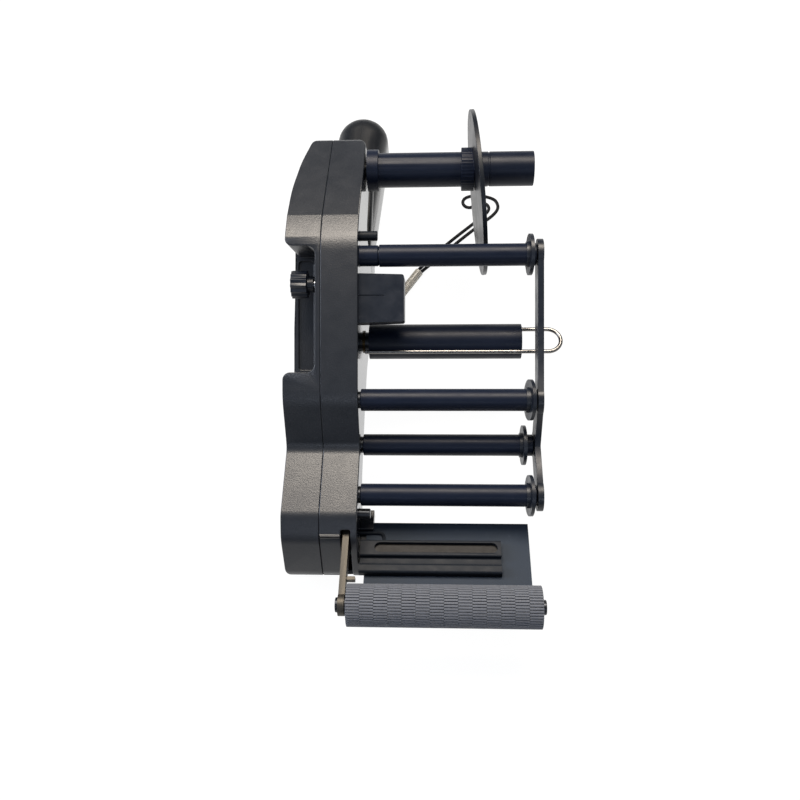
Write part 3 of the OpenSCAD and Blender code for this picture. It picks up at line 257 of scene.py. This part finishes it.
def show(name, mesh, solid, mat):
    """Makes an object of a mesh with a finish, on the body of a solid and in place of it."""
    obj = bpy.data.objects.new(name, mesh)
    SCENE.collection.objects.link(obj)
    mesh.materials.clear()
    mesh.materials.append(mat)
    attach(obj, BODY_OF[solid])
    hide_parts(solid)
    return obj


# Wrist cord: one braided cord that runs out from its stud, round a loose bow and back
# In mm: the stud's end, the heights of the cord's middle in the sleeve and on the table, and its thickness
STUD_END, CORD_MID, CORD_LOW, CORD_D = 7.0, 3.2, 1.35, 2.4
ROUTE_STEPS, CORD_POINTS, CORD_ROUNDNESS = 8, 320, 4
BRAID_STRANDS, BRAID_TURN, BRAID_DEPTH, BRAID_SHOW = 4, 7.0, 0.08, 0.8
CORD_ROUTE = [
    (STUD_END, 95.7, CORD_MID), (8.5, 95.7, CORD_MID), (10, 95.7, CORD_MID), (15, 103, CORD_MID),
    (23, 119, CORD_MID), (33, 134, CORD_MID), (47, 149, CORD_LOW), (62, 164, CORD_LOW), (77, 178, CORD_LOW),
    (87, 187, CORD_LOW), (91, 194, CORD_LOW), (89, 201, CORD_LOW), (82, 204.6, CORD_LOW),
    (75, 205.4, CORD_LOW), (70, 205, CORD_LOW), (66, 202.8, CORD_LOW), (64.7, 199.2, CORD_LOW),
    (66.2, 195.8, CORD_LOW), (69.6, 194.4, CORD_LOW), (73.4, 195.8, CORD_LOW), (78, 198.2, CORD_LOW),
    (82.6, 197.2, CORD_LOW), (84.2, 193, CORD_LOW), (81.4, 188, CORD_LOW), (73, 180, CORD_LOW),
    (58, 166, CORD_LOW), (44, 152, CORD_LOW), (30.9, 135.5, CORD_MID), (20.8, 120.3, CORD_MID),
    (13, 106, CORD_MID), (10, 98.5, CORD_MID), (8.5, 98.5, CORD_MID), (STUD_END, 98.5, CORD_MID),
]


def smooth_route(points, steps):
    """Points of a smooth curve through a list of places."""
    last = len(points) - 1
    made = []
    for i in range(last):
        a, b, c, d = (points[max(0, min(last, i + k))] for k in (-1, 0, 1, 2))
        for k in range(steps):
            t = k / steps
            made.append(0.5 * (2 * b + (c - a) * t + (2 * a - 5 * b + 4 * c - d) * t * t
                               + (3 * b - a - 3 * c + d) * t ** 3))
    return made + [points[last]]


def even_route(points, count):
    """The same line with evenly spaced points, so that its braid has one pitch."""
    reached = [0.0]
    for a, b in zip(points, points[1:]):
        reached.append(reached[-1] + (b - a).length)
    made = []
    k = 0
    for i in range(count):
        want = reached[-1] * i / (count - 1)
        while k < len(points) - 2 and reached[k + 1] < want:
            k += 1
        made.append(points[k].lerp(points[k + 1], (want - reached[k]) / (reached[k + 1] - reached[k])))
    return made


def braid(length):
    """Braided polyester: two crossing sets of strands that wind along the cord by its UV map."""
    mat = finish("braided_polyester", "#121317", "#0a0b0e", (0.6, 0.75), spot=1.2, grain=0.5, depth=0.02,
                 shine=0.15)
    tree = mat.node_tree
    on_cord = put(tree, "ShaderNodeUVMap", uv_map="UVMap").outputs["UV"]
    place = put(tree, "ShaderNodeSeparateXYZ", {"Vector": on_cord})
    whole = 2 * math.pi * BRAID_STRANDS
    along = whole * length / (BRAID_TURN * MM)
    around = put(tree, "ShaderNodeMath", {0: place.outputs["Y"], 1: whole}, operation="MULTIPLY")
    waves = []
    for way in (1, -1):
        phase = put(tree, "ShaderNodeMath", {0: place.outputs["X"], 1: way * along,
                                             2: around.outputs["Value"]}, operation="MULTIPLY_ADD")
        wave = put(tree, "ShaderNodeMath", {0: phase.outputs["Value"]}, operation="SINE")
        waves.append(wave.outputs["Value"])
    crossed = put(tree, "ShaderNodeMath", {0: waves[0], 1: waves[1]}, operation="MAXIMUM")
    bump = next(n for n in tree.nodes if n.type == "BUMP")
    raised = put(tree, "ShaderNodeBump", {"Height": crossed.outputs["Value"], "Strength": BRAID_SHOW,
                                          "Distance": BRAID_DEPTH * MM, "Normal": bump.outputs["Normal"]})
    shader = next(n for n in tree.nodes if n.type == "BSDF_PRINCIPLED")
    tree.links.new(raised.outputs["Normal"], shader.inputs["Normal"])
    return mat


cord_points = even_route(smooth_route([on_table(*p) for p in CORD_ROUTE], ROUTE_STEPS), CORD_POINTS)
cord_length = sum((b - a).length for a, b in zip(cord_points, cord_points[1:]))
cord_curve = bpy.data.curves.new("cord_line", "CURVE")
cord_curve.dimensions = "3D"
cord_curve.bevel_depth = CORD_D / 2 * MM
cord_curve.bevel_resolution = CORD_ROUNDNESS
cord_curve.use_fill_caps = True
line = cord_curve.splines.new("POLY")
line.points.add(len(cord_points) - 1)
for spot, point in zip(line.points, cord_points):
    spot.co = (*point, 1)
    spot.radius = 1
cord_curve.materials.append(braid(cord_length))
cord = bpy.data.objects.new("braided_cord", cord_curve)
SCENE.collection.objects.link(cord)
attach(cord, "body")
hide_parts("wrist_cord")


# Moulded and turned pieces with softened edges

# The covers have some very short edges, to which a clamp would shrink all their roundings
FREE_EDGES = ("left_cover", "right_cover")
MERGE_MM, FLAT_DEG, SHARP_DEG, EDGE_STEPS = 0.04, 0.6, 34, 2


def softened(solid, width):
    """A merged copy of a solid's mesh with its sharp edges rounded by a width in mm, inside the same box."""
    mesh = SOLIDS[solid].data.copy()
    mesh.name = solid + "_soft"
    build = bmesh.new()
    build.from_mesh(mesh)
    bmesh.ops.remove_doubles(build, verts=build.verts, dist=MERGE_MM * MM)
    bmesh.ops.dissolve_limit(build, angle_limit=math.radians(FLAT_DEG), verts=build.verts, edges=build.edges)
    build.to_mesh(mesh)
    build.free()
    for face in mesh.polygons:
        face.use_smooth = True
    mesh.set_sharp_from_angle(angle=math.radians(SHARP_DEG))
    holder = bpy.data.objects.new(solid + "_holder", mesh)
    SCENE.collection.objects.link(holder)
    bevel = holder.modifiers.new("edges", "BEVEL")
    bevel.width = width * MM
    bevel.segments = EDGE_STEPS
    bevel.limit_method = "ANGLE"
    bevel.angle_limit = math.radians(SHARP_DEG)
    bevel.use_clamp_overlap = solid not in FREE_EDGES
    bevel.miter_outer = "MITER_ARC"
    bevel.harden_normals = True
    plain = bpy.data.meshes.new_from_object(holder.evaluated_get(bpy.context.evaluated_depsgraph_get()))
    bpy.data.objects.remove(holder)
    low, high = ([pick(v.co[k] for v in mesh.vertices) for k in range(3)] for pick in (min, max))
    for vert in plain.vertices:
        vert.co = [min(max(c, a), b) for c, a, b in zip(vert.co, low, high)]
    return show(solid + "_moulding", plain, solid, FINISH_OF[solid])


# Width of the rounding on the edges of each piece
EDGE_MM = {
    "left_cover": 0.4, "right_cover": 0.7, "grip_left": 0.35, "grip_right": 0.35, "side_box": 0.6,
    "adjust_knob": 0.25, "supply_disc": 0.3, "outer_bar": 0.4, "sensor_bar": 0.4, "peel_plate": 0.2,
    "press_arm": 0.35, "supply_spindle": 0.35, "rewind_core": 0.35, "stub_pin": 0.5, "start_button": 0.7,
    "plate_bracket": 0.4, "press_axle": 0.5, "arm_pin": 0.5, "strap_anchor": 0.6, "charge_socket": 0.3,
}
for number in range(1, 5):
    EDGE_MM["guide_roller_%d" % number] = 0.4
    EDGE_MM["edge_disc_%d" % number] = 0.3
soft = {solid: softened(solid, width) for solid, width in EDGE_MM.items()}


def second_finish(mesh, mat, belongs):
    """Gives another finish to the faces of a mesh whose corners all pass a test."""
    mesh.materials.append(mat)
    for face in mesh.polygons:
        if all(belongs(mesh.vertices[k].co) for k in face.vertices):
            face.material_index = 1


# The spigots on the side wall and the hub of the supply disc are as dull as the rollers
SPIGOT_X = SEAM_X + 0.2
HUB_R = 14.2
SUPPLY_U, SUPPLY_V = 148.0, -55.0
supply_axis = on_machine(0, SUPPLY_U, SUPPLY_V)
second_finish(soft["right_cover"].data, ROLLER_POM, lambda at: at.x > SPIGOT_X * MM)
second_finish(soft["supply_disc"].data, ROLLER_POM, lambda at: (at - supply_axis).yz.length < HUB_R * MM)


# Press roller: ribbed rings, each turned a little against the next

# Sizes in mm, and the turn from each ring to the next in degrees
PRESS_U, PRESS_V = -112.5, 23.0
PRESS_X0, PRESS_X1 = -3.4, 102.5
RING_COUNT, RING_RIBS, RING_R, RING_BORE = 14, 44, 11.6, 8.02
RIB_GROOVE, RIB_DEPTH, RIB_ROUND, RING_CHAMFER, RING_GAP = 0.3, 0.9, 0.06, 0.08, 0.03
RING_TURN = 77.0


def ring_mesh():
    """One ribbed ring along X, with flat ribs and narrow grooves."""
    step = 2 * math.pi / RING_RIBS
    groove = RIB_GROOVE / RING_R
    outline = []
    for k in range(RING_RIBS):
        for angle, radius in ((0, RING_R - RIB_DEPTH), (groove, RING_R - RIB_ROUND), (2 * groove, RING_R),
                              (step - 2 * groove, RING_R), (step - groove, RING_R - RIB_ROUND)):
            outline.append((k * step + angle, radius))
    wide = (PRESS_X1 - PRESS_X0) / RING_COUNT - RING_GAP
    sections = [(0, None), (0, -RING_CHAMFER), (RING_CHAMFER, 0),
                (wide - RING_CHAMFER, 0), (wide, -RING_CHAMFER), (wide, None)]
    build = bmesh.new()
    loops = []
    for x, shrink in sections:
        loops.append([build.verts.new((x * MM, r * math.cos(a) * MM, r * math.sin(a) * MM)) for a, r in (
            (a, RING_BORE if shrink is None else r + shrink) for a, r in outline)])
    count = len(outline)
    for one, two in zip(loops, loops[1:] + loops[:1]):
        for k in range(count):
            build.faces.new((one[k], one[(k + 1) % count], two[(k + 1) % count], two[k]))
    bmesh.ops.recalc_face_normals(build, faces=build.faces)
    mesh = bpy.data.meshes.new("one_ring")
    build.to_mesh(mesh)
    build.free()
    return mesh


def repeat_tree(name):
    """Node tree that sets one shape on every point, turned in steps about X, and makes it real."""
    tree = bpy.data.node_groups.new(name, "GeometryNodeTree")
    for label, kind, way in (
            ("Places", "NodeSocketGeometry", "INPUT"), ("Shape", "NodeSocketObject", "INPUT"),
            ("Turn", "NodeSocketFloat", "INPUT"), ("Finish", "NodeSocketMaterial", "INPUT"),
            ("Pieces", "NodeSocketGeometry", "OUTPUT")):
        tree.interface.new_socket(label, in_out=way, socket_type=kind)
    source = put(tree, "NodeGroupInput")
    shape = put(tree, "GeometryNodeObjectInfo", {"Object": source.outputs["Shape"]})
    index = put(tree, "GeometryNodeInputIndex")
    turn = put(tree, "ShaderNodeMath", {0: index.outputs["Index"], 1: source.outputs["Turn"]},
               operation="MULTIPLY")
    angles = put(tree, "ShaderNodeCombineXYZ", {"X": turn.outputs["Value"]})
    spread = put(tree, "GeometryNodeInstanceOnPoints", {"Points": source.outputs["Places"],
                                                        "Instance": shape.outputs["Geometry"],
                                                        "Rotation": angles.outputs["Vector"]})
    real = put(tree, "GeometryNodeRealizeInstances", {"Geometry": spread.outputs["Instances"]})
    done = put(tree, "GeometryNodeSetMaterial", {"Geometry": real.outputs["Geometry"],
                                                 "Material": source.outputs["Finish"]})
    put(tree, "NodeGroupOutput", {"Pieces": done.outputs["Geometry"]})
    return tree


REPEAT = repeat_tree("repeat_shape")
CREASE_DEG = 32


def repeated(name, shape_mesh, places, turn, solid, mat):
    """One mesh with a shape at every place, in place of a solid."""
    shape = bpy.data.objects.new(name + "_shape", shape_mesh)
    points = bpy.data.meshes.new(name + "_places")
    points.from_pydata([tuple(p) for p in places], [], [])
    holder = bpy.data.objects.new(name + "_holder", points)
    SCENE.collection.objects.link(shape)
    SCENE.collection.objects.link(holder)
    nodes = holder.modifiers.new("repeat", "NODES")
    nodes.node_group = REPEAT
    keys = {item.name: item.identifier for item in REPEAT.interface.items_tree if item.in_out == "INPUT"}
    nodes[keys["Shape"]] = shape
    nodes[keys["Turn"]] = turn
    nodes[keys["Finish"]] = mat
    plain = bpy.data.meshes.new_from_object(holder.evaluated_get(bpy.context.evaluated_depsgraph_get()))
    bpy.data.objects.remove(holder)
    bpy.data.objects.remove(shape)
    for face in plain.polygons:
        face.use_smooth = True
    plain.set_sharp_from_angle(angle=math.radians(CREASE_DEG))
    return show(name, plain, solid, mat)


ring_pitch = (PRESS_X1 - PRESS_X0) / RING_COUNT
ring_places = [on_machine(PRESS_X0 + i * ring_pitch, PRESS_U, PRESS_V) for i in range(RING_COUNT)]
repeated("ribbed_rings", ring_mesh(), ring_places, math.radians(RING_TURN), "press_rings", RING_RUBBER)


# Screws with a cross recess

HEAD_SIDES = 24
# Shares of a head's height and radius along its rounded side, and of its size in the cross recess
HEAD_SHAPE = [(0, 1), (0.35, 1), (0.75, 0.88), (1, 0.6)]
CROSS_ARM, CROSS_DEEP, CROSS_SLOT, CROSS_TAPER = 0.52, 0.55, 0.28, 0.8


def screw_head(radius, height, shank_r, shank):
    """Pan head along +X on a shank, with a cross recess."""
    build = bmesh.new()
    sides = HEAD_SIDES
    arm, deep = radius * CROSS_ARM, height * CROSS_DEEP
    profile = [(-shank, shank_r), (0, shank_r)] + [(height * h, radius * r) for h, r in HEAD_SHAPE]
    loops = []
    for x, r in profile:
        loops.append([build.verts.new((x * MM, r * MM * math.cos(2 * math.pi * k / sides),
                                       r * MM * math.sin(2 * math.pi * k / sides))) for k in range(sides)])
    for one, two in zip(loops, loops[1:]):
        for k in range(sides):
            build.faces.new((one[k], one[(k + 1) % sides], two[(k + 1) % sides], two[k]))
    build.faces.new(list(reversed(loops[0])))
    narrow = arm * CROSS_SLOT
    star = []
    for k in range(4):
        turn = k * math.pi / 2
        for along, across in ((arm, -narrow), (arm, narrow), (narrow, narrow)):
            star.append((along * math.cos(turn) - across * math.sin(turn),
                         along * math.sin(turn) + across * math.cos(turn)))
    mouth = [build.verts.new((height * MM, a * MM, b * MM)) for a, b in star]
    floor = [build.verts.new(((height - deep) * MM, a * CROSS_TAPER * MM, b * CROSS_TAPER * MM))
             for a, b in star]
    count = len(star)
    for k in range(count):
        build.faces.new((mouth[k], mouth[(k + 1) % count], floor[(k + 1) % count], floor[k]))
    build.faces.new(floor)
    rim = loops[-1]
    edges = [build.edges.get((rim[k], rim[(k + 1) % sides])) for k in range(sides)]
    edges += [build.edges.get((mouth[k], mouth[(k + 1) % count])) for k in range(count)]
    bmesh.ops.triangle_fill(build, edges=edges, use_beauty=True, normal=(1, 0, 0))
    bmesh.ops.recalc_face_normals(build, faces=build.faces)
    mesh = bpy.data.meshes.new("screw_head")
    build.to_mesh(mesh)
    build.free()
    return mesh


ROLLERS = [(84.7, -9.0), (0.0, -9.0), (-27.3, -26.0), (-55.7, -9.0)]
POSTS = [(-92, -25), (-40, -20), (4, -34), (34, -66), (124, -48), (103, -24)]
# Sizes in mm, and the turn from each screw to the next in radians
HEAD_R, HEAD_H, SHANK_R = 2.8, 2.0, 1.5
BAR_SEAT, BAR_SHANK, BAR_TURN = 105.0, 9.5, 0.4
SHELL_SEAT, SHELL_SHANK, SHELL_TURN = -40.5, 33.5, 0.7
bar_places = [on_machine(BAR_SEAT, u, v) for u, v in ROLLERS]
bar_screw = screw_head(HEAD_R, HEAD_H, SHANK_R, BAR_SHANK)
repeated("bar_screw_heads", bar_screw, bar_places, BAR_TURN, "bar_screws", SCREW_STEEL)
post_places = [on_machine(SHELL_SEAT, u, v) for u, v in POSTS]
shell_screw = screw_head(HEAD_R, HEAD_H, SHANK_R, SHELL_SHANK)
shell_screw.transform(Matrix.Rotation(math.pi, 4, "Z"))
repeated("shell_screw_heads", shell_screw, post_places, SHELL_TURN, "shell_screws", SCREW_STEEL)


# Floor, light and background

# Share of its own light that the paper shows to the eye, the strength of that light, and the half of its side
PAPER_SHARE, PAPER_GLOW, FLOOR_HALF = 0.93, 1.04, 3.0


def floor_finish():
    """White studio paper: mostly even white to the eye and in reflections, with a faint shadow."""
    mat = bpy.data.materials.new("white_studio_paper")
    mat.use_nodes = True
    tree = mat.node_tree
    tree.nodes.clear()
    path = put(tree, "ShaderNodeLightPath")
    seen = put(tree, "ShaderNodeMath", {0: path.outputs["Is Camera Ray"], 1: path.outputs["Is Glossy Ray"]},
               operation="MAXIMUM")
    seen = put(tree, "ShaderNodeMath", {0: seen.outputs["Value"], 1: path.outputs["Is Transmission Ray"]},
               operation="MAXIMUM")
    share = put(tree, "ShaderNodeMath", {0: seen.outputs["Value"], 1: PAPER_SHARE}, operation="MULTIPLY")
    paper = put(tree, "ShaderNodeBsdfDiffuse", {"Color": linear("#f4f4f4")})
    glow = put(tree, "ShaderNodeEmission", {"Color": (1, 1, 1, 1), "Strength": PAPER_GLOW})
    mixed = put(tree, "ShaderNodeMixShader", {"Fac": share.outputs["Value"], 1: paper.outputs["BSDF"],
                                              2: glow.outputs["Emission"]})
    put(tree, "ShaderNodeOutputMaterial", {"Surface": mixed.outputs["Shader"]})
    return mat


floor_mesh = bpy.data.meshes.new("paper")
floor_corners = [(FLOOR_HALF * a, FLOOR_HALF * b, 0) for a, b in ((-1, -1), (1, -1), (1, 1), (-1, 1))]
floor_mesh.from_pydata(floor_corners, [], [(0, 1, 2, 3)])
floor_mesh.materials.append(floor_finish())
paper_floor = bpy.data.objects.new("paper_floor", floor_mesh)
SCENE.collection.objects.link(paper_floor)

# Span of heights over which the room's light grows, and its strength at both ends
ROOM_SPAN, ROOM_LOW, ROOM_HIGH = (0.1, 0.95), 0.2, 0.5
world = bpy.data.worlds.new("studio")
SCENE.world = world
world.use_nodes = True
sky = world.node_tree
sky.nodes.clear()
ray = put(sky, "ShaderNodeLightPath")
backdrop = put(sky, "ShaderNodeBackground", {"Color": (1, 1, 1, 1), "Strength": 1.0})
way = put(sky, "ShaderNodeTexCoord").outputs["Generated"]
height = put(sky, "ShaderNodeSeparateXYZ", {"Vector": way}).outputs["Z"]
level = remap(sky, height, ROOM_SPAN, ROOM_LOW, ROOM_HIGH)
room = put(sky, "ShaderNodeBackground", {"Color": linear("#c3cedd"), "Strength": level})
either = put(sky, "ShaderNodeMixShader", {"Fac": ray.outputs["Is Camera Ray"], 1: room.outputs["Background"],
                                          2: backdrop.outputs["Background"]})
put(sky, "ShaderNodeOutputWorld", {"Surface": either.outputs["Shader"]})


def softbox(name, place, aim, size, power, colour):
    """A rectangular lamp that points at a place."""
    lamp = bpy.data.lights.new(name, "AREA")
    lamp.shape = "RECTANGLE"
    lamp.size, lamp.size_y = size
    lamp.energy = power
    lamp.color = linear(colour)[:3]
    obj = bpy.data.objects.new(name, lamp)
    SCENE.collection.objects.link(obj)
    obj.location = place
    obj.rotation_euler = (Vector(aim) - Vector(place)).to_track_quat("-Z", "Y").to_euler()


MIDDLE = Vector((0.05, -0.15, 0.06))
softbox("overhead_rear", MIDDLE + 1.2 * Vector((0.0, 0.45, 0.89)), MIDDLE, (0.9, 0.5), 26, "#fff4e6")
softbox("left_window", MIDDLE + 1.3 * Vector((-0.85, 0.1, 0.5)), MIDDLE, (0.5, 0.8), 12, "#e6eeff")
softbox("front_fill", MIDDLE + 1.5 * Vector((0.1, -0.77, 0.64)), MIDDLE, (0.9, 0.12), 2, "#e6eeff")
